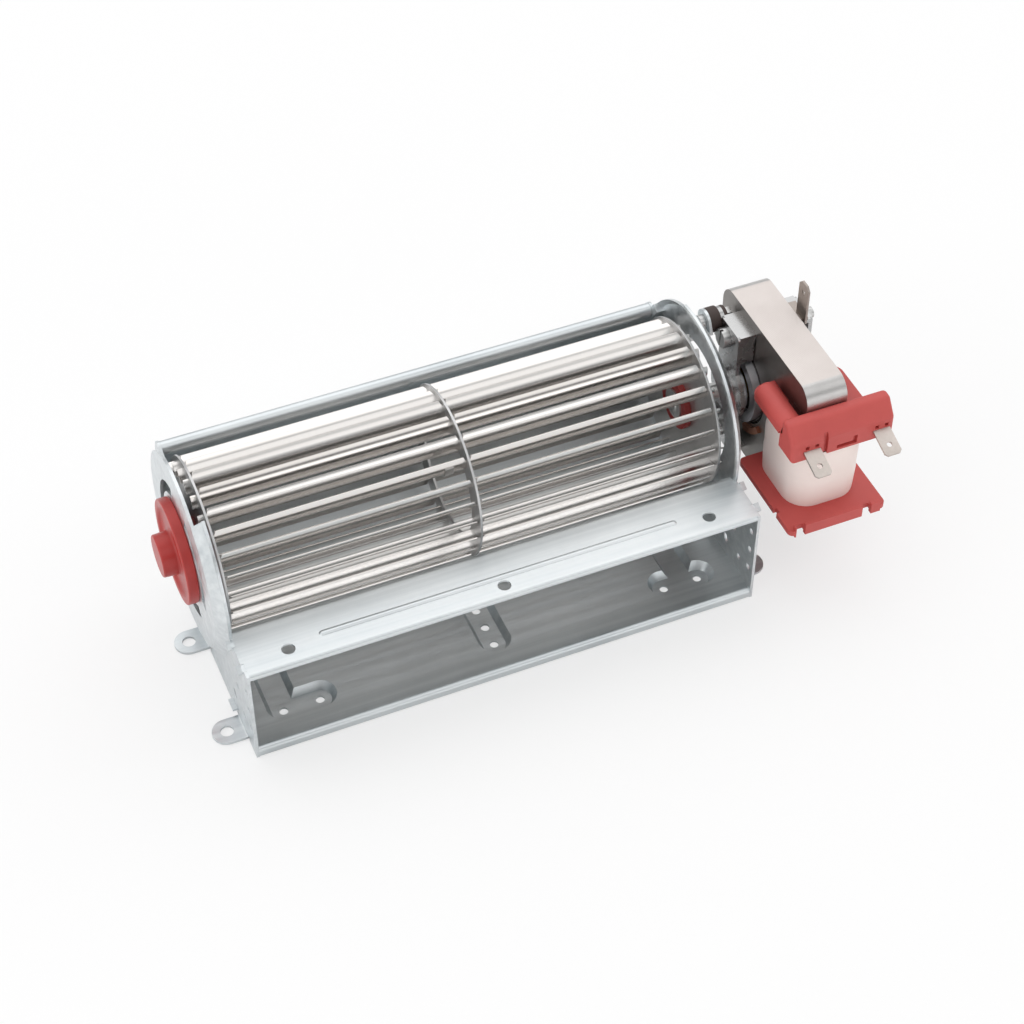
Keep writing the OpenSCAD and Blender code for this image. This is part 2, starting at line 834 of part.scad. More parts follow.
module stator_core()
{
    color(core_grey) placed() difference() {
        along_x(core_x, stack_t) difference() {
            round_rect([core_front, -core_half], [core_back, core_half], core_corner);
            translate([core_front - 1, -arm_z]) square([window_back - core_front + 1, 2 * arm_z]);
            key_outline(seat_gap);
        }
        rod(bore_r, core_x - 1, core_x2 + 1);
        for (s = [-1, 1]) about_x(core_x - 1) translate([screw_y, s * screw_z, 0])
            cylinder(r = screw_r + 0.1, h = stack_t + 2);
        shade_slots(core_x - 1, core_x2 + 1, seat_gap);
    }
}

module coil_core()
{
    w = key_w / 2;
    mid = (core_front + leg_back) / 2;
    top = arm_z + key_h;
    color(core_grey) placed() along_x(core_x, stack_t)
        polygon([[core_front, -arm_z], [mid - w + 0.8, -arm_z], [mid - w, -top], [mid + w, -top],
            [mid + w - 0.8, -arm_z], [leg_back, -arm_z], [leg_back, arm_z],
            [mid + w - 0.8, arm_z], [mid + w, top], [mid - w, top],
            [mid - w + 0.8, arm_z], [core_front, arm_z]]);
}

module shading_rings()
{
    link_t = 1.2;
    color(copper) placed() {
        shade_slots(core_x - link_t / 2, core_x2 + link_t / 2, 0);
        for (a = [40, 220], x = [core_x - link_t, core_x2])
            sector(bore_r + 1.2, bore_r + 3.6, x, x + link_t, a - 4, a + 36);
    }
}

// Terminal block and flanges keep their place relative to the core
module bobbin()
{
    x0 = block_shift;
    tube_lo = [core_x - 0.1 - bob_wall, core_front - 0.1 - bob_wall];
    tube_hi = [core_x2 + 0.1 + bob_wall, leg_back + 0.1 + bob_wall];
    color(red) placed() difference() {
        union() {
            // upper flange with round rear corners
            translate([x0, 0, bob_half]) linear_extrude(bob_flange_t)
                difference() {
                    round_rect([upper_x[0], block_y[0]], [upper_x[1], coil_y[1] + 0.5], 5);
                    translate([0, -60]) square([200, 14]);
                }
            // round lobe on the flange along the core's side
            difference() {
                translate([x0 + upper_x[0] + lobe_r, block_y[1] - span_lap, bob_half + bob_flange_t])
                    rotate([-90, 0, 0]) rotate_extrude() {
                        square([lobe_r, lobe_len - lobe_round]);
                        square([lobe_r - lobe_round, lobe_len]);
                        translate([lobe_r - lobe_round, lobe_len - lobe_round]) circle(lobe_round);
                    }
                box([x0 + upper_x[0] - 1, block_y[1] - 2, bob_half - lobe_r],
                    [x0 + upper_x[0] + 2 * lobe_r + 1, coil_y[1], bob_half + inset]);
            }
            // lower flange, wider and longer, with a raised front rim
            translate([x0, 0, -bob_half - bob_flange_t]) {
                linear_extrude(bob_flange_t) difference() {
                    round_rect([lower_x[0], lower_front], [lower_x[1], coil_y[1] + 0.5], 2);
                    for (x = rim_notch_x)
                        translate([x, lower_front - 1]) square(rim_notch_w);
                    translate([lower_x[0] - 1, -48]) square([2.2, 2.2]);
                }
                translate([0, 0, -1]) difference() {
                    box([lower_x[0] + 2, lower_front, 0],
                        [lower_x[1] - 2, lower_front + rim_wall, rim_h]);
                    for (x = rim_notch_x)
                        translate([x, lower_front - 1, -1]) cube([rim_notch_w, rim_notch_w, rim_h + 2]);
                }
            }
            // tube round the coil leg
            translate([0, 0, -bob_half]) linear_extrude(2 * bob_half)
                translate(tube_lo) square(tube_hi - tube_lo);
            // terminal block with a sloped front edge
            translate([x0, 0, 0]) {
                along_x(block_x[0], block_x[1] - block_x[0])
                    polygon([[block_y[0], block_z[0]], [block_y[0], 17.5], [-46.5, block_z[1]],
                        [block_y[1], block_z[1]], [block_y[1], 16.8], [skirt_y, 16.8],
                        [skirt_y, bob_half], [-45.5, bob_half], [-45.5, block_z[0]]]);
                box([block_x[0], -46, block_z[0]], [block_x[0] + cheek_t, skirt_y, bob_half + 1]);
                box([block_x[1] - cheek_t, -46, block_z[0]], [block_x[1], skirt_y, bob_half + 1]);
            }
        }
        translate([core_x - 0.1, core_front - 0.1, -bob_half - bob_flange_t - 1])
            cube([stack_t + 0.2, leg_back - core_front + 0.2, 2 * (bob_half + bob_flange_t + 1)]);
        // front slots and the recesses over the terminals
        translate([x0, 0, 0]) {
            front = block_y[0] - 1;
            box([block_slot_x[0], front, block_slot_z[0]],
                [block_slot_x[1], front_cut_y, block_slot_z[1]]);
            box([corner_slot_x[0], front, corner_slot_z[0]],
                [corner_slot_x[1], front_cut_y, corner_slot_z[0] + corner_slot_w]);
            box([corner_slot_x[1] - corner_slot_w, front, corner_slot_z[0]],
                [corner_slot_x[1], front_cut_y, corner_slot_z[1]]);
            for (x = term_x) {
                for (s = [0, 1]) translate([x, 0, 0]) mirror([s, 0, 0])
                    box([term_mark[0], front, term_mark_z[0]],
                        [term_mark[1], front_cut_y, term_mark_z[1]]);
                term_form(x, slot_gap / 2);
            }
        }
    }
}

// Flat terminal: a strip with a tapered tip, falling away to the front
module term_form(x, grow)
{
    w = tab_w / 2 + grow;
    translate([x, term_root.x, term_root.y]) rotate([term_drop, 0, 0])
        translate([0, -term_len, -term_t / 2 - grow])
            linear_extrude(term_t + 2 * grow)
                polygon([[-w, term_len + grow], [-w, term_tip], [-w + term_tip, 0],
                    [w - term_tip, 0], [w, term_tip], [w, term_len + grow]]);
}

module front_terminals()
{
    color(steel) placed() translate([block_shift, 0, 0]) for (x = term_x) difference() {
        term_form(x, 0);
        translate([x, term_root.x, term_root.y]) rotate([term_drop, 0, 0])
            translate([0, -term_len + 4, -3]) cylinder(r = term_hole_r, h = 6);
    }
}

module coil_outline(shrink)
{
    round_rect([coil_x[0] + shrink, coil_y[0] + shrink], [coil_x[1] - shrink, coil_y[1] - shrink],
        coil_corner - shrink);
}

module coil_hole(grow)
{
    lo = [core_x - 0.1 - bob_wall - grow, core_front - 0.1 - bob_wall - grow];
    hi = [core_x2 + 0.1 + bob_wall + grow, leg_back + 0.1 + bob_wall + grow];
    translate([lo.x, lo.y, -bob_half - 1]) cube([hi.x - lo.x, hi.y - lo.y, 2 * bob_half + 2]);
}

module winding()
{
    color(copper) placed() difference() {
        translate([block_shift, 0, -bob_half]) linear_extrude(2 * bob_half)
            coil_outline(tape_t);
        coil_hole(0);
        block_room();
    }
}

module coil_tape()
{
    color(tape_white) placed() difference() {
        translate([block_shift, 0, -bob_half]) linear_extrude(2 * bob_half)
            difference() {
                coil_outline(0);
                coil_outline(tape_t);
            }
        block_room();
    }
}

// Room that the terminal block takes out of the front of the coil
module block_room()
{
    translate([block_shift, 0, 0]) {
        box([block_x[0] - 1, -60, block_z[0] - 0.3], [block_x[1] + 1, -45.4, bob_half + 1]);
        box([block_x[0] - 1, -46, block_z[0] - 0.3],
            [block_x[0] + cheek_t + 0.3, skirt_y + 0.3, bob_half + 1]);
    }
}

// Tab that stands on the upper folded foot of the rear bracket
module earth_terminal()
{
    x = core_x2 + 2.5;
    y0 = -7;
    y1 = y0 + tab_w;
    z0 = brk_half;
    z1 = brk_half + 15.5;
    taper = 1.6;
    color(steel) placed() difference() {
        union() {
            along_x(x, term_t)
                polygon([[y0, z0], [y1, z0], [y1, z1 - taper], [y1 - taper, z1],
                    [y0 + taper, z1], [y0, z1 - taper]]);
            box([core_x2 + 0.6, y0 + 2, z0], [x + 2.4, y1 + 5, z0 + term_t]);
        }
        about_x(core_x2) translate([(y0 + y1) / 2, z1 - 4, 0]) cylinder(r = term_hole_r, h = 8);
    }
}

// Bearing bracket on the wheel's side of the core: a bridge with folded feet and a cup
module bracket_form()
{
    web_out = bracket_x;
    web_in = bracket_x + brk_t;
    difference() {
        union() {
            along_x(web_out, brk_t) {
                round_rect([-brk_w / 2 + 1.2, -brk_half], [brk_w / 2 + 1.2, brk_half], 1.4);
                circle(r = boss_r + 2);
            }
            for (s = [0, 1]) mirror([0, 0, s])
                box([web_out + 0.75, -brk_w / 2 + 1.2, brk_half - brk_t],
                    [core_x, brk_w / 2 + 1.2, brk_half]);
            rod(boss_r, web_out - 1.5, web_out + boss_len - 1.5);
        }
        rod(cup_r, web_out - 0.4, web_in + boss_len);
        rod(shaft_r + 1, web_out - 3, web_in + 1);
        for (s = [-1, 1]) about_x(web_out - 1) translate([screw_y, s * screw_z, 0])
            cylinder(r = screw_r + 0.1, h = brk_t + 2);
    }
}

module front_bracket()
{
    color(zinc) placed() difference() {
        union() {
            bracket_form();
            // ears for the rubber mounts
            for (a = [arm_a, -arm_a]) about_x(bracket_x, a) {
                translate([arm_at - 7, -arm_w / 2 + 0.5, 0]) cube([7, arm_w - 1, brk_t]);
                translate([arm_at, 0, 0]) cylinder(r = grommet_r - 0.5, h = brk_t);
            }
        }
        for (a = [arm_a, -arm_a]) about_x(bracket_x - 1, a)
            translate([arm_at, 0, 0]) cylinder(r = grommet_r - 1.5, h = brk_t + 2);
        for (s = [-1, 1]) about_x(bracket_x - 1) translate([screw_y, s * screw_z, 0])
            cylinder(r = screw_r + 0.1, h = brk_t + 2);
    }
}

// The rear bracket mirrors the front one about the middle of the stack
module at_rear()
{
    translate([2 * core_mid, 0, 0]) mirror([1, 0, 0]) children();
}

module rear_bracket()
{
    color(zinc) placed() at_rear() bracket_form();
}

module front_bearing()
{
    color(bronze) placed() ball_bush(brg_x, brg_r, brg_half, shaft_r + run_gap);
}

module rear_bearing()
{
    color(bronze) placed() at_rear() ball_bush(brg_x, brg_r, brg_half, shaft_r + run_gap);
}

module felt_form()
{
    tube(brg_r + 0.02, cup_r - seat_gap, brg_x - 1.2, brg_x + 1);
}

module front_felt()
{
    color(felt_grey) placed() felt_form();
}

module rear_felt()
{
    color(felt_grey) placed() at_rear() felt_form();
}

module retainer_form()
{
    tube(shaft_r + 1.2, cup_r - seat_gap, bracket_x - 0.4, bracket_x + 0.5);
}

module front_retainer()
{
    color(steel) placed() retainer_form();
}

module rear_retainer()
{
    color(steel) placed() at_rear() retainer_form();
}

module stack_screws()
{
    head_t = 2.6;
    color(steel) placed() for (s = [-1, 1]) translate([0, screw_y, s * screw_z]) {
        difference() {
            rod(3.6, bracket_x - head_t, bracket_x);
            translate([bracket_x - head_t - 1, -0.5, -5]) cube([2, 1, 10]);
        }
        rod(screw_r, bracket_x - 0.5, 2 * core_mid - bracket_x + 4.5);
    }
}

module stack_nuts()
{
    rear = 2 * core_mid - bracket_x;
    color(steel) placed() for (s = [-1, 1]) translate([0, screw_y, s * screw_z]) difference() {
        about_x(rear) cylinder(r = 3.9, h = 3, $fn = 6);
        rod(screw_r + seat_gap, rear - 1, rear + 4);
    }
}

module grommets()
{
    neck = grommet_r - 1.5 - seat_gap;
    color(dark) placed() for (a = [arm_a, -arm_a]) about_x(arm_x, a) translate([arm_at, 0, 0]) difference() {
        union() {
            cylinder(r = grommet_r, h = bracket_x - arm_x);
            cylinder(r = neck, h = bracket_x - arm_x + brk_t + 0.5);
            translate([0, 0, bracket_x - arm_x + brk_t])
                cylinder(r = grommet_r - 0.5, h = grommet_lip);
        }
        translate([0, 0, -1]) cylinder(r = mount_screw_r + seat_gap, h = 12);
    }
}

module mount_screws()
{
    shank = grommet_end + mount_nut_h + 0.6 - (arm_x - end_t);
    color(steel) placed() for (a = [arm_a, -arm_a])
        about_x(arm_x - end_t, a) translate([arm_at, 0, 0]) {
            translate([0, 0, -mount_head_h]) cylinder(r = mount_head_r, h = mount_head_h);
            translate([0, 0, -1]) cylinder(r = mount_screw_r, h = shank + 1);
        }
}

module mount_nuts()
{
    color(steel) placed() for (a = [arm_a, -arm_a]) about_x(grommet_end, a)
        translate([arm_at, 0, 0]) difference() {
            cylinder(r = mount_nut_r, h = mount_nut_h, $fn = 6);
            translate([0, 0, -1]) cylinder(r = mount_screw_r + seat_gap, h = mount_nut_h + 2);
        }
}

scroll_wall();
tongue_plate();
left_end_plate();
right_end_plate();
bearing_holder();
bearing_bush();
bearing_felt();
bearing_washer();
left_disc();
right_disc();
middle_ring();
blades();
left_hub();
right_hub();
left_hub_bush();
right_hub_bush();
stub_shaft();
motor_shaft();
balance_clip();
rotor_stack();
rotor_cage();
stator_core();
coil_core();
shading_rings();
bobbin();
winding();
coil_tape();
front_terminals();
earth_terminal();
front_bracket();
rear_bracket();
front_bearing();
rear_bearing();
front_felt();
rear_felt();
front_retainer();
rear_retainer();
stack_screws();
stack_nuts();
grommets();
mount_screws();
mount_nuts();
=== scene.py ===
import json
import math

import bpy
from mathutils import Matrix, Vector


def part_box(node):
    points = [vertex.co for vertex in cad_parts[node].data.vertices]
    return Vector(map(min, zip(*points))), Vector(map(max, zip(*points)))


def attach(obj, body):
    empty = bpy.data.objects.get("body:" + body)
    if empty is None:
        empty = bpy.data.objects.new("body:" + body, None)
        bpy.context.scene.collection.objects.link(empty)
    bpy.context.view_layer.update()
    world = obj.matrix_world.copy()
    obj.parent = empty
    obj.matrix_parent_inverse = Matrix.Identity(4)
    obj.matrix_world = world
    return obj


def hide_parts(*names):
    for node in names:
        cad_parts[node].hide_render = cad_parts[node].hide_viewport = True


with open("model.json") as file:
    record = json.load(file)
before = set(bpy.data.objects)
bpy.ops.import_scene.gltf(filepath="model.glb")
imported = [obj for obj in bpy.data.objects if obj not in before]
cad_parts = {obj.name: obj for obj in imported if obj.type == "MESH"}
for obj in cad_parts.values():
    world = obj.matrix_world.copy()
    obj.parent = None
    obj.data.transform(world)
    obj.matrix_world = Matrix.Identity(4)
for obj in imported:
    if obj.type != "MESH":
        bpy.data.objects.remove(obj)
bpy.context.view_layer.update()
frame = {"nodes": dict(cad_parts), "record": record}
nodes = frame["nodes"]
bodyOf = {n: b for b, members in frame["record"]["behaviour"]["bodies"].items() for n in members}
print("frame loaded")

# camera first: the photograph looks down on the outlet side from the bearing end
cameraPlan = {
    "place": (-0.1898, -0.4836, 0.5901),
    "down": 46.36,      # degrees below the horizon
    "turn": -22.89,     # degrees about Z
    "lens": 80.46,      # mm
    "sensor": 36,       # mm
    "clip": (0.01, 20),
}
bpy.ops.object.camera_add(location=cameraPlan["place"])
camera = bpy.context.object
camera.name = "photoCamera"
camera.rotation_euler = (math.radians(90 - cameraPlan["down"]), 0,
                         math.radians(cameraPlan["turn"]))
camera.data.sensor_width = cameraPlan["sensor"]
camera.data.lens = cameraPlan["lens"]
camera.data.clip_start, camera.data.clip_end = cameraPlan["clip"]
bpy.context.scene.camera = camera
bpy.context.scene.view_settings.view_transform = "Standard"
print("camera placed")

# small helpers for editing by hand

near = {            # how close counts as the same place, in metres
    "weld": 0.000002, "level": 0.00001, "plane": 0.00002, "corner": 0.0001, "axis": 0.001,
}
facing = 0.9        # a face looks along an axis when its normal has more than this of it
flatAngle = 1       # degrees between neighbours that become one face
flatWeight = 80     # how strongly large faces hold the normals beside broken edges


def deselectAll():
    if bpy.context.object and bpy.context.object.mode != "OBJECT":
        bpy.ops.object.mode_set(mode="OBJECT")
    bpy.ops.object.select_all(action="DESELECT")


def makeActive(piece):
    deselectAll()
    piece.select_set(True)
    bpy.context.view_layer.objects.active = piece


def applyPlace(piece):
    makeActive(piece)
    bpy.ops.object.transform_apply(location=True, rotation=True, scale=True)


def applyModifiers(piece):
    makeActive(piece)
    for m in list(piece.modifiers):
        bpy.ops.object.modifier_apply(modifier=m.name)


def closeEdit():
    bpy.ops.object.mode_set(mode="OBJECT")


def choose(piece, kind, test):
    # selects points, edges or faces by their place and leaves edit mode open
    makeActive(piece)
    bpy.ops.object.mode_set(mode="EDIT")
    bpy.ops.mesh.select_mode(type=kind)
    bpy.ops.mesh.select_all(action="DESELECT")
    closeEdit()
    mesh = piece.data
    for part in {"VERT": mesh.vertices, "EDGE": mesh.edges, "FACE": mesh.polygons}[kind]:
        part.select = bool(test(part))
    bpy.ops.object.mode_set(mode="EDIT")


def edgeEnds(piece, edge):
    return [piece.data.vertices[i].co for i in edge.vertices]


def mergeFaces(piece):
    # points that meet become one, and flat neighbours one face
    makeActive(piece)
    bpy.ops.object.mode_set(mode="EDIT")
    bpy.ops.mesh.select_all(action="SELECT")
    bpy.ops.mesh.remove_doubles(threshold=near["weld"])
    bpy.ops.mesh.customdata_custom_splitnormals_clear()
    bpy.ops.mesh.dissolve_limited(angle_limit=math.radians(flatAngle))
    closeEdit()


def addBox(name, low, high):
    deselectAll()
    bpy.ops.mesh.primitive_cube_add(size=1, location=[(a + b) / 2 for a, b in zip(low, high)])
    box = bpy.context.object
    box.name = box.data.name = name
    box.scale = [b - a for a, b in zip(low, high)]
    applyPlace(box)
    return box


def useTool(piece, tool, operation):
    # joins or cuts with a helper body, which is then deleted
    work = piece.modifiers.new("toolWork", "BOOLEAN")
    work.object = tool
    work.operation = operation
    work.solver = "EXACT"
    applyModifiers(piece)
    makeActive(tool)
    bpy.ops.object.delete()


def breakEdges(piece, width, segments, angle):
    bevel = piece.modifiers.new("edgeBreak", "BEVEL")
    bevel.width = width
    bevel.segments = segments
    bevel.limit_method = "ANGLE"
    bevel.angle_limit = math.radians(angle)
    applyModifiers(piece)


def smoothPiece(piece, angle):
    makeActive(piece)
    bpy.ops.object.shade_smooth_by_angle(angle=math.radians(angle))


def weighNormals(piece):
    # large faces keep their flat shade beside small broken edges
    weigh = piece.modifiers.new("flatFaces", "WEIGHTED_NORMAL")
    weigh.weight = flatWeight
    weigh.keep_sharp = True
    applyModifiers(piece)


def finishPiece(piece, body, material, replaced):
    piece.data.materials.clear()
    piece.data.materials.append(material)
    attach(piece, body)
    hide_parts(*replaced)


# node helpers: an input is given by its name or number

def plug(tree, socket, value):
    # links an output, or sets a number, a direction or a colour
    if isinstance(value, bpy.types.NodeSocket):
        tree.links.new(value, socket)
    elif socket.type == "RGBA":
        socket.default_value = (*value, 1)
    else:
        socket.default_value = value


def addNode(tree, kind, given=None, **settings):
    node = tree.nodes.new(kind)
    for key, value in settings.items():
        setattr(node, key, value)
    for key, value in (given or {}).items():
        plug(tree, node.inputs[key], value)
    return node


def mathNode(tree, operation, *values):
    node = addNode(tree, "ShaderNodeMath", dict(enumerate(values)), operation=operation)
    return node.outputs[0]


def vectorNode(tree, operation, *values):
    return addNode(tree, "ShaderNodeVectorMath", dict(enumerate(values)), operation=operation)


def mapRange(tree, value, source=(0, 1), target=(0, 1), smooth=False):
    node = addNode(tree, "ShaderNodeMapRange", {
        "Value": value, "From Min": source[0], "From Max": source[1],
        "To Min": target[0], "To Max": target[1],
    }, interpolation_type="SMOOTHSTEP" if smooth else "LINEAR")
    return node.outputs["Result"]


def noiseFrom(tree, vector, scale, seed, detail):
    node = addNode(tree, "ShaderNodeTexNoise", {
        "Vector": vector, "Scale": scale, "W": seed, "Detail": detail}, noise_dimensions="4D")
    return node.outputs["Fac"]


def mixColour(tree, factor, first, second):
    node = addNode(tree, "ShaderNodeMix", {"Factor": factor, "A": first, "B": second},
                   data_type="RGBA")
    return node.outputs["Result"]


def bumpFrom(tree, height, distance):
    return addNode(tree, "ShaderNodeBump", {"Height": height, "Distance": distance}).outputs[0]


# shader groups: each effect is built once

def newGroup(name, inputs, outputs):
    group = bpy.data.node_groups.new(name, "ShaderNodeTree")
    for label, value in inputs.items():
        socket = group.interface.new_socket(name=label, in_out="INPUT",
                                            socket_type="NodeSocketFloat")
        socket.default_value = value
    for label in outputs:
        group.interface.new_socket(name=label, in_out="OUTPUT", socket_type="NodeSocketFloat")
    start = group.nodes.new("NodeGroupInput")
    end = group.nodes.new("NodeGroupOutput")
    return group, start.outputs, end.inputs


def rollingGroup():
    # fine lines of rolled sheet that run along X, with broad cloudy patches
    group, given, result = newGroup("rollingLines", {
        "Line Scale": 900, "Stretch": 0.02, "Patch Scale": 45, "Seed": 0}, ["Lines", "Patches"])
    place = addNode(group, "ShaderNodeTexCoord").outputs["Object"]
    stretch = addNode(group, "ShaderNodeCombineXYZ", {"X": given["Stretch"], "Y": 1, "Z": 1})
    drawn = vectorNode(group, "MULTIPLY", place, stretch.outputs[0]).outputs["Vector"]
    plug(group, result["Lines"], noiseFrom(group, drawn, given["Line Scale"], given["Seed"], 3))
    plug(group, result["Patches"],
         noiseFrom(group, place, given["Patch Scale"], given["Seed"], 4))
    return group


def grainGroup():
    # small even grain of a moulded or blasted surface, with slow clouds
    group, given, result = newGroup("fineGrain", {"Scale": 1500, "Seed": 0}, ["Grain", "Cloud"])
    place = addNode(group, "ShaderNodeTexCoord").outputs["Object"]
    cloudScale = 60
    plug(group, result["Grain"], noiseFrom(group, place, given["Scale"], given["Seed"], 2))
    plug(group, result["Cloud"], noiseFrom(group, place, cloudScale, given["Seed"], 5))
    return group


def spreadGroup():
    # spreads the middle of a noise between two numbers
    group, given, result = newGroup("spreadValue", {"Value": 0.5, "From": 0, "To": 1}, ["Value"])
    noiseMiddle = (0.3, 0.7)
    plug(group, result["Value"],
         mapRange(group, given["Value"], noiseMiddle, (given["From"], given["To"])))
    return group


rolling = rollingGroup()
grain = grainGroup()
spread = spreadGroup()
print("shader groups built")


def placeRolling(tree, plan):
    return addNode(tree, "ShaderNodeGroup", {
        "Line Scale": plan["lineScale"], "Stretch": plan["stretch"],
        "Patch Scale": plan["patchScale"], "Seed": plan["seed"]}, node_tree=rolling)


def spreadOut(tree, value, low=0.0, high=1.0):
    node = addNode(tree, "ShaderNodeGroup", {"Value": value, "From": low, "To": high},
                   node_tree=spread)
    return node.outputs["Value"]


def newMaterial(name):
    material = bpy.data.materials.new(name)
    material.use_nodes = True
    tree = material.node_tree
    return material, tree, tree.nodes["Principled BSDF"]


def dressShader(tree, shader, colour, rough, metallic, normal):
    plug(tree, shader.inputs["Base Color"], colour)
    plug(tree, shader.inputs["Roughness"], rough)
    plug(tree, shader.inputs["Metallic"], metallic)
    plug(tree, shader.inputs["Normal"], normal)


def rolledMetal(name, plan):
    # sheet metal: rolled lines along X, cloudy roughness, faint tone changes
    material, tree, shader = newMaterial(name)
    surface = placeRolling(tree, plan).outputs
    lineShare = mathNode(tree, "MULTIPLY", spreadOut(tree, surface["Lines"]),
                         1 - plan["patchShare"])
    both = mathNode(tree, "MULTIPLY_ADD", spreadOut(tree, surface["Patches"]),
                    plan["patchShare"], lineShare)
    dressShader(tree, shader, mixColour(tree, both, plan["dark"], plan["light"]),
                spreadOut(tree, both, *plan["rough"]), plan["metallic"],
                bumpFrom(tree, surface["Lines"], plan["bump"]))
    return material


def grainySurface(name, plan):
    # moulded plastic, rubber, tape or cast metal
    material, tree, shader = newMaterial(name)
    surface = addNode(tree, "ShaderNodeGroup", {
        "Scale": plan["grainScale"], "Seed": plan["seed"]}, node_tree=grain).outputs
    tone = spreadOut(tree, surface["Cloud"])
    dressShader(tree, shader, mixColour(tree, tone, plan["dark"], plan["light"]),
                spreadOut(tree, surface["Cloud"], *plan["rough"]), plan.get("metallic", 0),
                bumpFrom(tree, surface["Grain"], plan["bump"]))
    return material


def coreStack(name, plan):
    # laminated core: pale satin on its flat top, bare metal on its bent corner, and its two flat
    # X sides much darker as painted shade
    material, tree, shader = newMaterial(name)
    place = addNode(tree, "ShaderNodeTexCoord").outputs["Object"]
    split = addNode(tree, "ShaderNodeSeparateXYZ", {0: place}).outputs
    onTop = mapRange(tree, split["Z"], (plan["topFrom"], plan["topTo"]), smooth=True)
    fromMiddle = mathNode(tree, "ABSOLUTE",
                          mathNode(tree, "SUBTRACT", split["X"], plan["middle"]))
    # faces on the stack's two flat X sides get a much darker colour: painted shade
    onShadedSide = mathNode(tree, "GREATER_THAN", fromMiddle, plan["halfStack"])
    cloud = spreadOut(tree, placeRolling(tree, plan).outputs["Patches"])
    edges, shadedSides, top = (mixColour(tree, cloud, *plan[k]) for k in ("edges", "shadedSides", "top"))
    tone = mixColour(tree, onTop, mixColour(tree, onShadedSide, edges, shadedSides), top)
    # the sheets of the stack show as fine steps across X
    steps = mathNode(tree, "SINE",
                     mathNode(tree, "MULTIPLY", split["X"], 2 * math.pi / plan["sheet"]))
    dressShader(tree, shader, tone, mapRange(tree, onTop, target=plan["rough"]),
                mapRange(tree, onTop, target=plan["metallic"]),
                bumpFrom(tree, steps, plan["bump"]))
    return material


housingZinc = rolledMetal("housingZinc", {
    "dark": (0.56, 0.60, 0.62), "light": (0.83, 0.86, 0.87), "rough": (0.34, 0.46),
    "metallic": 1.0, "lineScale": 420, "stretch": 0.015, "patchScale": 40,
    "patchShare": 0.4, "bump": 0.000008, "seed": 1.0})
bladeSteel = rolledMetal("bladeSteel", {
    "dark": (0.72, 0.68, 0.645), "light": (0.86, 0.85, 0.84), "rough": (0.20, 0.27),
    "metallic": 1.0, "lineScale": 160, "stretch": 0.006, "patchScale": 14,
    "patchShare": 0.25, "bump": 0.0, "seed": 2.0})
discSteel = rolledMetal("discSteel", {
    "dark": (0.52, 0.52, 0.52), "light": (0.68, 0.68, 0.68), "rough": (0.38, 0.50),
    "metallic": 1.0, "lineScale": 600, "stretch": 0.5, "patchScale": 60,
    "patchShare": 0.7, "bump": 0.00001, "seed": 7.0})
coreSteel = coreStack("coreSteel", {
    "top": ((0.66, 0.60, 0.57), (0.74, 0.68, 0.65)),
    "edges": ((0.50, 0.49, 0.48), (0.64, 0.63, 0.62)),
    # colour of the flat X sides, far darker than the edges: painted shade
    "shadedSides": ((0.18, 0.165, 0.155), (0.30, 0.28, 0.265)),
    "middle": 0.1181, "halfStack": 0.00744,     # X of the stack's middle, and half its depth
    "topFrom": 0.0757, "topTo": 0.07595,        # Z where the sides turn into the top
    "rough": (0.38, 0.50), "metallic": (1.0, 0.25), "lineScale": 500, "stretch": 1.0,
    "patchScale": 70, "sheet": 0.0005, "bump": 0.000012, "seed": 3.0})
# rotor laminations coloured near black: painted shade for the dark space inside the motor
shadedRotorSteel = rolledMetal("shadedRotorSteel", {
    "dark": (0.045, 0.04, 0.037), "light": (0.10, 0.09, 0.085), "rough": (0.40, 0.52),
    "metallic": 0.9, "lineScale": 600, "stretch": 1.0, "patchScale": 90,
    "patchShare": 0.7, "bump": 0.00001, "seed": 9.0})
bracketZinc = rolledMetal("bracketZinc", {
    "dark": (0.40, 0.40, 0.40), "light": (0.58, 0.58, 0.58), "rough": (0.22, 0.32),
    "metallic": 1.0, "lineScale": 500, "stretch": 0.5, "patchScale": 90,
    "patchShare": 0.8, "bump": 0.0, "seed": 4.0})
tinPlate = rolledMetal("tinPlate", {
    "dark": (0.50, 0.45, 0.41), "light": (0.66, 0.60, 0.56), "rough": (0.30, 0.42),
    "metallic": 1.0, "lineScale": 900, "stretch": 1.0, "patchScale": 160,
    "patchShare": 0.7, "bump": 0.00002, "seed": 5.0})
brownTin = rolledMetal("brownTin", {
    "dark": (0.30, 0.26, 0.23), "light": (0.46, 0.41, 0.38), "rough": (0.34, 0.46),
    "metallic": 1.0, "lineScale": 900, "stretch": 1.0, "patchScale": 160,
    "patchShare": 0.7, "bump": 0.00002, "seed": 8.0})
screwSteel = rolledMetal("screwSteel", {
    "dark": (0.46, 0.46, 0.46), "light": (0.64, 0.64, 0.63), "rough": (0.26, 0.36),
    "metallic": 1.0, "lineScale": 900, "stretch": 0.3, "patchScale": 200,
    "patchShare": 0.6, "bump": 0.00001, "seed": 6.0})
bobbinPlastic = grainySurface("bobbinPlastic", {
    "dark": (0.50, 0.070, 0.062), "light": (0.58, 0.088, 0.078), "rough": (0.46, 0.56),
    "grainScale": 1400, "bump": 0.00003, "seed": 1.0})
holderPlastic = grainySurface("holderPlastic", {
    "dark": (0.40, 0.032, 0.027), "light": (0.50, 0.046, 0.040), "rough": (0.32, 0.42),
    "grainScale": 1400, "bump": 0.00002, "seed": 2.0})
hubRubber = grainySurface("hubRubber", {
    "dark": (0.17, 0.013, 0.011), "light": (0.26, 0.022, 0.018), "rough": (0.45, 0.60),
    "grainScale": 900, "bump": 0.00003, "seed": 3.0})
coilTape = grainySurface("coilTape", {
    "dark": (0.90, 0.78, 0.73), "light": (0.95, 0.84, 0.79), "rough": (0.40, 0.55),
    "grainScale": 500, "bump": 0.00005, "seed": 4.0})
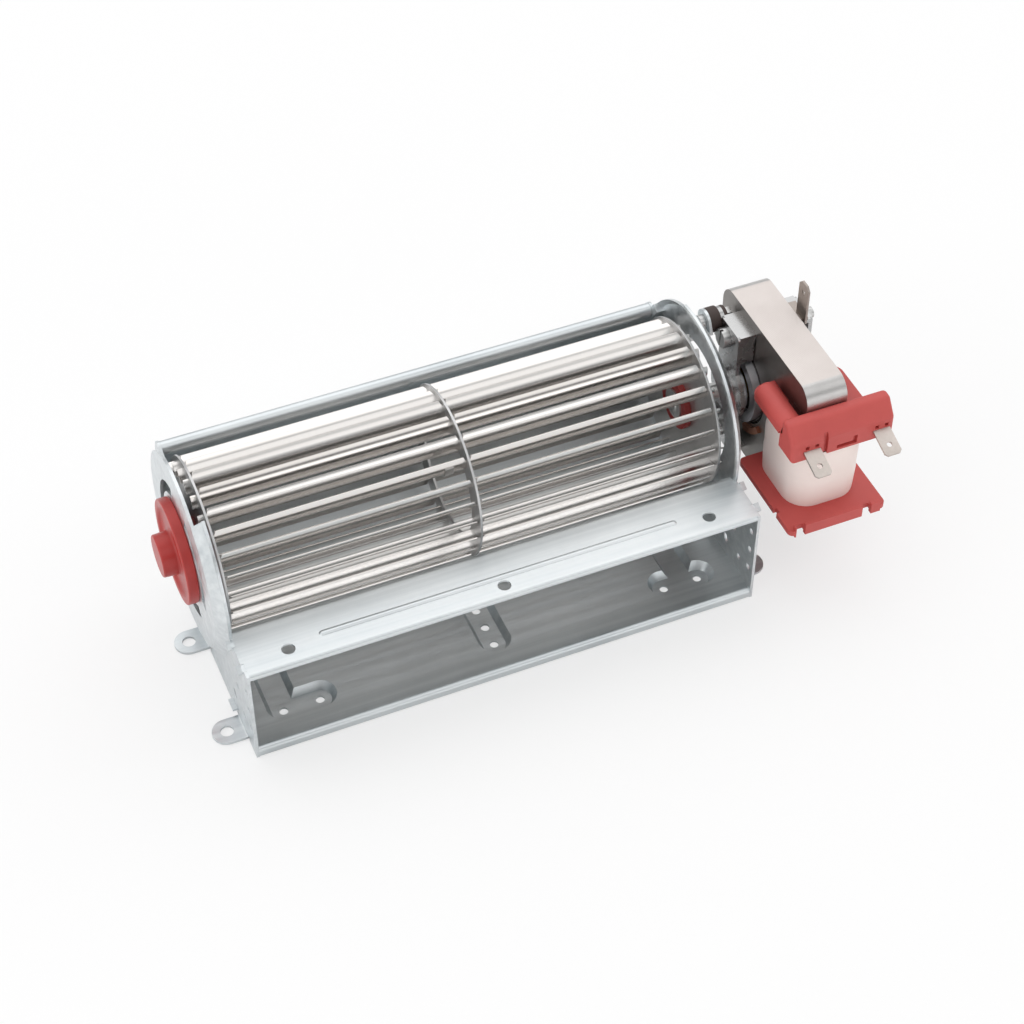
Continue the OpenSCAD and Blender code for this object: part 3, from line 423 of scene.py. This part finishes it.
grommetRubber = grainySurface("grommetRubber", {
    "dark": (0.030, 0.018, 0.015), "light": (0.060, 0.036, 0.030), "rough": (0.45, 0.60),
    "grainScale": 900, "bump": 0.00003, "seed": 5.0})
sinteredBronze = grainySurface("sinteredBronze", {
    "dark": (0.36, 0.22, 0.10), "light": (0.50, 0.33, 0.17), "rough": (0.42, 0.58),
    "grainScale": 2200, "bump": 0.00003, "seed": 6.0, "metallic": 1.0})
oilFelt = grainySurface("oilFelt", {
    "dark": (0.20, 0.16, 0.12), "light": (0.34, 0.28, 0.22), "rough": (0.85, 0.95),
    "grainScale": 1800, "bump": 0.00015, "seed": 7.0})
castAluminium = grainySurface("castAluminium", {
    "dark": (0.50, 0.50, 0.52), "light": (0.64, 0.64, 0.66), "rough": (0.42, 0.58),
    "grainScale": 900, "bump": 0.00006, "seed": 8.0, "metallic": 1.0})
bareCopper = grainySurface("bareCopper", {
    "dark": (0.34, 0.13, 0.08), "light": (0.50, 0.24, 0.15), "rough": (0.34, 0.50),
    "grainScale": 900, "bump": 0.00002, "seed": 9.0, "metallic": 1.0})
print("materials built")

# the finish of each CAD node, for those shown as they are and for their dressed copies
nodeFinish = {
    "scroll_wall": housingZinc, "tongue_plate": housingZinc,
    "left_end_plate": housingZinc, "right_end_plate": housingZinc,
    "bearing_holder": holderPlastic, "bearing_bush": sinteredBronze,
    "bearing_felt": oilFelt, "bearing_washer": screwSteel,
    "left_disc": discSteel, "right_disc": discSteel, "middle_ring": discSteel,
    "blades": bladeSteel, "left_hub": hubRubber, "right_hub": hubRubber,
    "left_hub_bush": screwSteel, "right_hub_bush": screwSteel,
    "stub_shaft": screwSteel, "motor_shaft": screwSteel, "balance_clip": screwSteel,
    "rotor_stack": shadedRotorSteel, "rotor_cage": castAluminium,
    "stator_core": coreSteel, "coil_core": coreSteel, "shading_rings": bareCopper,
    "bobbin": bobbinPlastic, "winding": bareCopper, "coil_tape": coilTape,
    "front_terminals": tinPlate, "earth_terminal": brownTin,
    "front_bracket": bracketZinc, "rear_bracket": bracketZinc,
    "front_bearing": sinteredBronze, "rear_bearing": sinteredBronze,
    "front_felt": oilFelt, "rear_felt": oilFelt,
    "front_retainer": screwSteel, "rear_retainer": screwSteel,
    "stack_screws": screwSteel, "stack_nuts": screwSteel, "grommets": grommetRubber,
    "mount_screws": screwSteel, "mount_nuts": screwSteel,
}
for nodeName, material in nodeFinish.items():
    mesh = nodes[nodeName].data
    mesh.materials.clear()
    mesh.materials.append(material)
print("CAD nodes finished")

# terminal block on the bobbin: Y and Z of its long edges, X of its two ends
blockPlan = {
    "corners": ((-0.02975, 0.0630), (-0.02545, 0.0690), (-0.02135, 0.0690)),
    "ends": (0.1013, 0.1398), "low": 0.0550, "back": -0.0195,
    "longEdge": 0.002, "round": 0.0015, "segments": 5,
}


def roundBlock(piece, plan):
    # rounds the block's long edges and the outline of its two ends
    def onBlock(edge):
        a, b = edgeEnds(piece, edge)
        alongX = abs(b.x - a.x)
        if alongX > plan["longEdge"] and (b - a).length - alongX < near["level"]:
            return any(math.hypot(a.y - y, a.z - z) < near["corner"]
                       for y, z in plan["corners"])
        atEnd = any(abs(a.x - x) + abs(b.x - x) < near["corner"] for x in plan["ends"])
        return atEnd and min(a.z, b.z) > plan["low"] and max(a.y, b.y) < plan["back"]

    choose(piece, "EDGE", onBlock)
    bpy.ops.mesh.bevel(offset=plan["round"], segments=plan["segments"], affect="EDGES",
                       clamp_overlap=False)
    closeEdit()


# side wall on the front bracket's upper foot
sideWallPlan = {
    "low": (0.10475, 0.01575, 0.0603),     # from the web, at the foot's near edge
    "high": (0.1103, 0.01725, 0.0720),     # short of the core, up to the foot's top
}


def addSideWall(piece, plan):
    # the foot is folded down once more along its near side
    useTool(piece, addBox("sideWall", plan["low"], plan["high"]), "UNION")
    mergeFaces(piece)


# pieces dressed over their CAD nodes: merged copies with broken edges
brokenEdges = {         # node, name of its piece and width of the break
    "scroll_wall": ("scrollWallSheet", 0.00012), "tongue_plate": ("tongueSheet", 0.00012),
    "left_end_plate": ("bearingEndSheet", 0.00012), "right_end_plate": ("motorEndSheet", 0.00012),
    "left_disc": ("bearingEndDisc", 0.0001), "right_disc": ("motorEndDisc", 0.0001),
    "middle_ring": ("wheelMiddleRing", 0.0001), "blades": ("wheelBlades", 0.00008),
    "left_hub": ("bearingEndHub", 0.0002), "right_hub": ("motorEndHub", 0.0002),
    "stator_core": ("statorStack", 0.0001), "coil_core": ("coilLegStack", 0.0001),
    "bobbin": ("coilBobbin", 0.0003),
    "front_terminals": ("frontBlades", 0.0001), "earth_terminal": ("earthTab", 0.0001),
    "front_bracket": ("frontBearingBridge", 0.00012),
    "rear_bracket": ("rearBearingBridge", 0.00012),
    "stack_screws": ("stackScrews", 0.0002), "stack_nuts": ("stackNuts", 0.0002),
    "grommets": ("mountGrommets", 0.0003), "mount_screws": ("mountScrews", 0.0002),
    "mount_nuts": ("mountNuts", 0.0002),
}
extraWork = {"bobbin": (roundBlock, blockPlan), "front_bracket": (addSideWall, sideWallPlan)}
breakPlan = {"segments": 2, "angle": 40, "smooth": 30}      # angles in degrees


def roundedCopy(nodeName, pieceName, width, plan):
    makeActive(nodes[nodeName])
    bpy.ops.object.duplicate()
    piece = bpy.context.object
    piece.name = piece.data.name = pieceName
    for key in list(piece.keys()):      # the node's own marks stay with the node
        del piece[key]
    piece.parent = None
    mergeFaces(piece)
    if nodeName in extraWork:
        work, workPlan = extraWork[nodeName]
        work(piece, workPlan)
    breakEdges(piece, width, plan["segments"], plan["angle"])
    smoothPiece(piece, plan["smooth"])
    weighNormals(piece)
    return piece


for nodeName, (pieceName, width) in brokenEdges.items():
    piece = roundedCopy(nodeName, pieceName, width, breakPlan)
    finishPiece(piece, bodyOf[nodeName], nodeFinish[nodeName], (nodeName,))
print("edges broken on", len(brokenEdges), "pieces")

# moulded cap that holds the end bearing: a rolled rim, a sunk face and a round boss
axisPlace = (0.02105, 0.0455)     # Y and Z of the wheel's axis
capPlan = {
    "sides": 96, "seat": -0.0925, "rimRadius": 0.018, "rimDepth": 0.0037, "rimBand": 0.0024,
    "slope": 0.0012, "sink": 0.0011, "bossRadius": 0.0075, "bossEnd": -0.101,
    "bossRoot": 0.0010, "rootRise": 0.0006,
    "draft": 0.96,                # the boss narrows to this share of its width
    "neckRadius": 0.01195, "neckDepth": 0.001, "cavityRadius": 0.0064, "cavityEnd": -0.0998,
    "edge": 0.0007, "edgeSegments": 4, "edgeAngle": 24, "smooth": 30,
}


def chooseCap(piece, x):
    # the flat face that crosses the wheel's axis at one X
    def onAxis(face):
        away = math.hypot(face.center.y - axisPlace[0], face.center.z - axisPlace[1])
        level = abs(face.center.x - x) < near["plane"] and abs(face.normal.x) > facing
        return level and away < near["axis"]

    choose(piece, "FACE", onAxis)


def insetFace(depth, along=0.0):
    # narrows the chosen face, then moves it along X
    bpy.ops.mesh.inset(thickness=depth, depth=0, use_even_offset=True)
    if along:
        bpy.ops.transform.translate(value=(along, 0, 0))


def extrudeFace(along):
    bpy.ops.mesh.extrude_region_move(TRANSFORM_OT_translate={"value": (along, 0, 0)})


def buildHolderCap(plan):
    deselectAll()
    bpy.ops.mesh.primitive_cylinder_add(
        vertices=plan["sides"], radius=plan["rimRadius"], depth=plan["rimDepth"],
        location=(plan["seat"] - plan["rimDepth"] / 2, *axisPlace),
        rotation=(0, math.radians(90), 0))
    cap = bpy.context.object
    cap.name = cap.data.name = "bearingHolderCap"
    applyPlace(cap)
    # outside: rim, slope, sunk face and boss
    outer = plan["seat"] - plan["rimDepth"]
    sunkRadius = plan["rimRadius"] - plan["rimBand"] - plan["slope"]
    chooseCap(cap, outer)
    insetFace(plan["rimBand"])
    insetFace(plan["slope"], plan["sink"])
    insetFace(sunkRadius - plan["bossRadius"] - plan["bossRoot"])
    insetFace(plan["bossRoot"], -plan["rootRise"])
    extrudeFace(plan["bossEnd"] - (outer + plan["sink"] - plan["rootRise"]))
    bpy.ops.transform.resize(value=(1, plan["draft"], plan["draft"]),
                             center_override=(plan["bossEnd"], *axisPlace))
    # inside: neck and the bearing's cavity
    chooseCap(cap, plan["seat"])
    insetFace(plan["rimRadius"] - plan["neckRadius"])
    extrudeFace(plan["neckDepth"])
    insetFace(plan["neckRadius"] - plan["cavityRadius"])
    extrudeFace(plan["cavityEnd"] - (plan["seat"] + plan["neckDepth"]))
    bpy.ops.mesh.select_all(action="SELECT")
    bpy.ops.mesh.normals_make_consistent(inside=False)
    closeEdit()
    breakEdges(cap, plan["edge"], plan["edgeSegments"], plan["edgeAngle"])
    smoothPiece(cap, plan["smooth"])
    weighNormals(cap)
    finishPiece(cap, bodyOf["bearing_holder"], holderPlastic,
                ("bearing_holder",))


buildHolderCap(capPlan)
print("bearing cap built")

# paper tape wrapped round the coil: it bulges at mid height and steps at each lap
wrapPlan = {
    "corner": 0.009, "cornerSteps": 9, "bands": 24, "laps": 3,
    "bulge": 0.00022, "lapStep": 0.0002, "thickness": 0.00014, "smooth": 40,
    "upright": 0.01,                            # an edge that rises more than this
    "blockFront": -0.02435, "blockLow": 0.0552,
    "roomSides": 0.002, "roomFront": 0.004,     # how far the cutter passes the wrap
}


def buildCoilWrap(plan):
    low, high = (Vector(end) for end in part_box("coil_tape"))
    centre, half = (low + high) / 2, (high - low) / 2
    wrap = addBox("coilWrap", low, high)

    def isUpright(edge):
        a, b = edgeEnds(wrap, edge)
        return abs(a.z - b.z) > plan["upright"]

    choose(wrap, "EDGE", isUpright)
    bpy.ops.mesh.bevel(offset=plan["corner"], segments=plan["cornerSteps"], affect="EDGES")
    # open top and bottom
    choose(wrap, "FACE", lambda face: abs(face.normal.z) > facing)
    bpy.ops.mesh.delete(type="FACE")
    # bands up the height, each moved by the bulge and by its place in the lap
    choose(wrap, "EDGE", isUpright)
    bpy.ops.mesh.subdivide(number_cuts=plan["bands"] - 1)
    closeEdit()
    for z in sorted({round(v.co.z, 6) for v in wrap.data.vertices}):
        part = (z - low.z) / (high.z - low.z)
        lap = (part * plan["laps"]) % 1
        grow = plan["lapStep"] * (lap - 1) - plan["bulge"] * (2 * part - 1) ** 2
        choose(wrap, "VERT", lambda point: abs(point.co.z - z) < near["level"])
        bpy.ops.transform.resize(value=(1 + grow / half.x, 1 + grow / half.y, 1),
                                 center_override=(centre.x, centre.y, z))
        closeEdit()
    shell = wrap.modifiers.new("tapeThickness", "SOLIDIFY")
    shell.thickness = plan["thickness"]
    shell.offset = -1
    applyModifiers(wrap)
    # room for the terminal block
    cutter = addBox("blockRoom",
                    (low.x - plan["roomSides"], low.y - plan["roomFront"], plan["blockLow"]),
                    (high.x + plan["roomSides"], plan["blockFront"],
                     high.z + plan["roomSides"]))
    useTool(wrap, cutter, "DIFFERENCE")
    smoothPiece(wrap, plan["smooth"])
    finishPiece(wrap, bodyOf["coil_tape"], coilTape, ("coil_tape",))


buildCoilWrap(wrapPlan)
print("coil wrap built")

# floor: white to the camera but for a share of the shadow
floorPlan = {"size": 6, "height": -0.0003, "tone": 0.92, "rough": 0.9, "shadowShare": 0.4}
deselectAll()
bpy.ops.mesh.primitive_plane_add(size=floorPlan["size"], location=(0, 0, floorPlan["height"]))
floor = bpy.context.object
floor.name = "paleFloor"
floorMaterial, floorTree, floorShader = newMaterial("paleFloor")
plug(floorTree, floorShader.inputs["Base Color"], [floorPlan["tone"]] * 3)
plug(floorTree, floorShader.inputs["Roughness"], floorPlan["rough"])
floorGlow = addNode(floorTree, "ShaderNodeEmission", {"Strength": 1})
floorRays = addNode(floorTree, "ShaderNodeLightPath").outputs
floorSeen = mathNode(floorTree, "MAXIMUM", floorRays["Is Camera Ray"],
                     floorRays["Is Transmission Ray"])
floorShare = mathNode(floorTree, "MULTIPLY", floorSeen, 1 - floorPlan["shadowShare"])
floorMix = addNode(floorTree, "ShaderNodeMixShader", {
    "Fac": floorShare, 1: floorShader.outputs[0], 2: floorGlow.outputs[0]})
plug(floorTree, floorTree.nodes["Material Output"].inputs["Surface"], floorMix.outputs[0])
floor.data.materials.append(floorMaterial)

# pale room with a few soft dim strips along X, which draw the lines on the bright metal
roomPlan = {
    # middle, half width (degrees up from the front) and strength
    "strips": ((28, 10, 1.0), (84, 4, 0.6), (166, 12, 0.65)),
    "soft": 7,                                 # degrees over which a strip fades
    "dimTone": 0.14, "paleTone": 1.0, "strength": 1.18,
}


def buildRoom(plan):
    world = bpy.data.worlds.new("paleRoom")
    bpy.context.scene.world = world
    world.use_nodes = True
    tree = world.node_tree
    direction = addNode(tree, "ShaderNodeTexCoord").outputs["Generated"]
    across = vectorNode(tree, "MULTIPLY", direction, (0, 1, 1)).outputs["Vector"]
    unit = vectorNode(tree, "NORMALIZE", across).outputs["Vector"]
    dimShare = 0
    for middle, half, strength in plan["strips"]:
        up = math.radians(middle)
        towards = vectorNode(tree, "DOT_PRODUCT", unit, (0, -math.cos(up), math.sin(up)))
        fade = [math.cos(math.radians(max(half + side * plan["soft"], 0))) for side in (1, -1)]
        strip = mapRange(tree, towards.outputs["Value"], fade, (0, strength), smooth=True)
        dimShare = mathNode(tree, "MAXIMUM", dimShare, strip)
    tone = mixColour(tree, dimShare, [plan["paleTone"]] * 3, [plan["dimTone"]] * 3)
    light = tree.nodes["Background"]
    plug(tree, light.inputs["Color"], tone)
    plug(tree, light.inputs["Strength"], plan["strength"])
    # the camera itself sees plain white
    seen = addNode(tree, "ShaderNodeBackground", {"Color": (1, 1, 1)})
    rays = addNode(tree, "ShaderNodeLightPath").outputs
    mix = addNode(tree, "ShaderNodeMixShader", {
        "Fac": rays["Is Camera Ray"], 1: light.outputs[0], 2: seen.outputs[0]})
    plug(tree, tree.nodes["World Output"].inputs["Surface"], mix.outputs[0])


buildRoom(roomPlan)

lampPlan = {
    # place, point that it faces, size and watts
    "overheadBox": ((0.30, 0.65, 1.00), (0, 0, 0.03), (1.8, 1.0), 1.8),
    "leftBox": ((-1.1, -0.25, 0.55), (0, 0, 0.03), (0.9, 0.6), 1.2),
    "frontBox": ((0.55, -1.25, 0.40), (0.1, 0, 0.04), (0.9, 0.5), 0.9),
}
for lampName, (place, aim, size, power) in lampPlan.items():
    bpy.ops.object.light_add(type="AREA", location=place)
    lamp = bpy.context.object
    lamp.name = lampName
    lamp.data.shape = "RECTANGLE"
    lamp.data.size, lamp.data.size_y = size
    lamp.data.energy = power
    lamp.rotation_euler = (Vector(aim) - Vector(place)).to_track_quat("-Z", "Y").to_euler()
print("floor, world and lights placed")
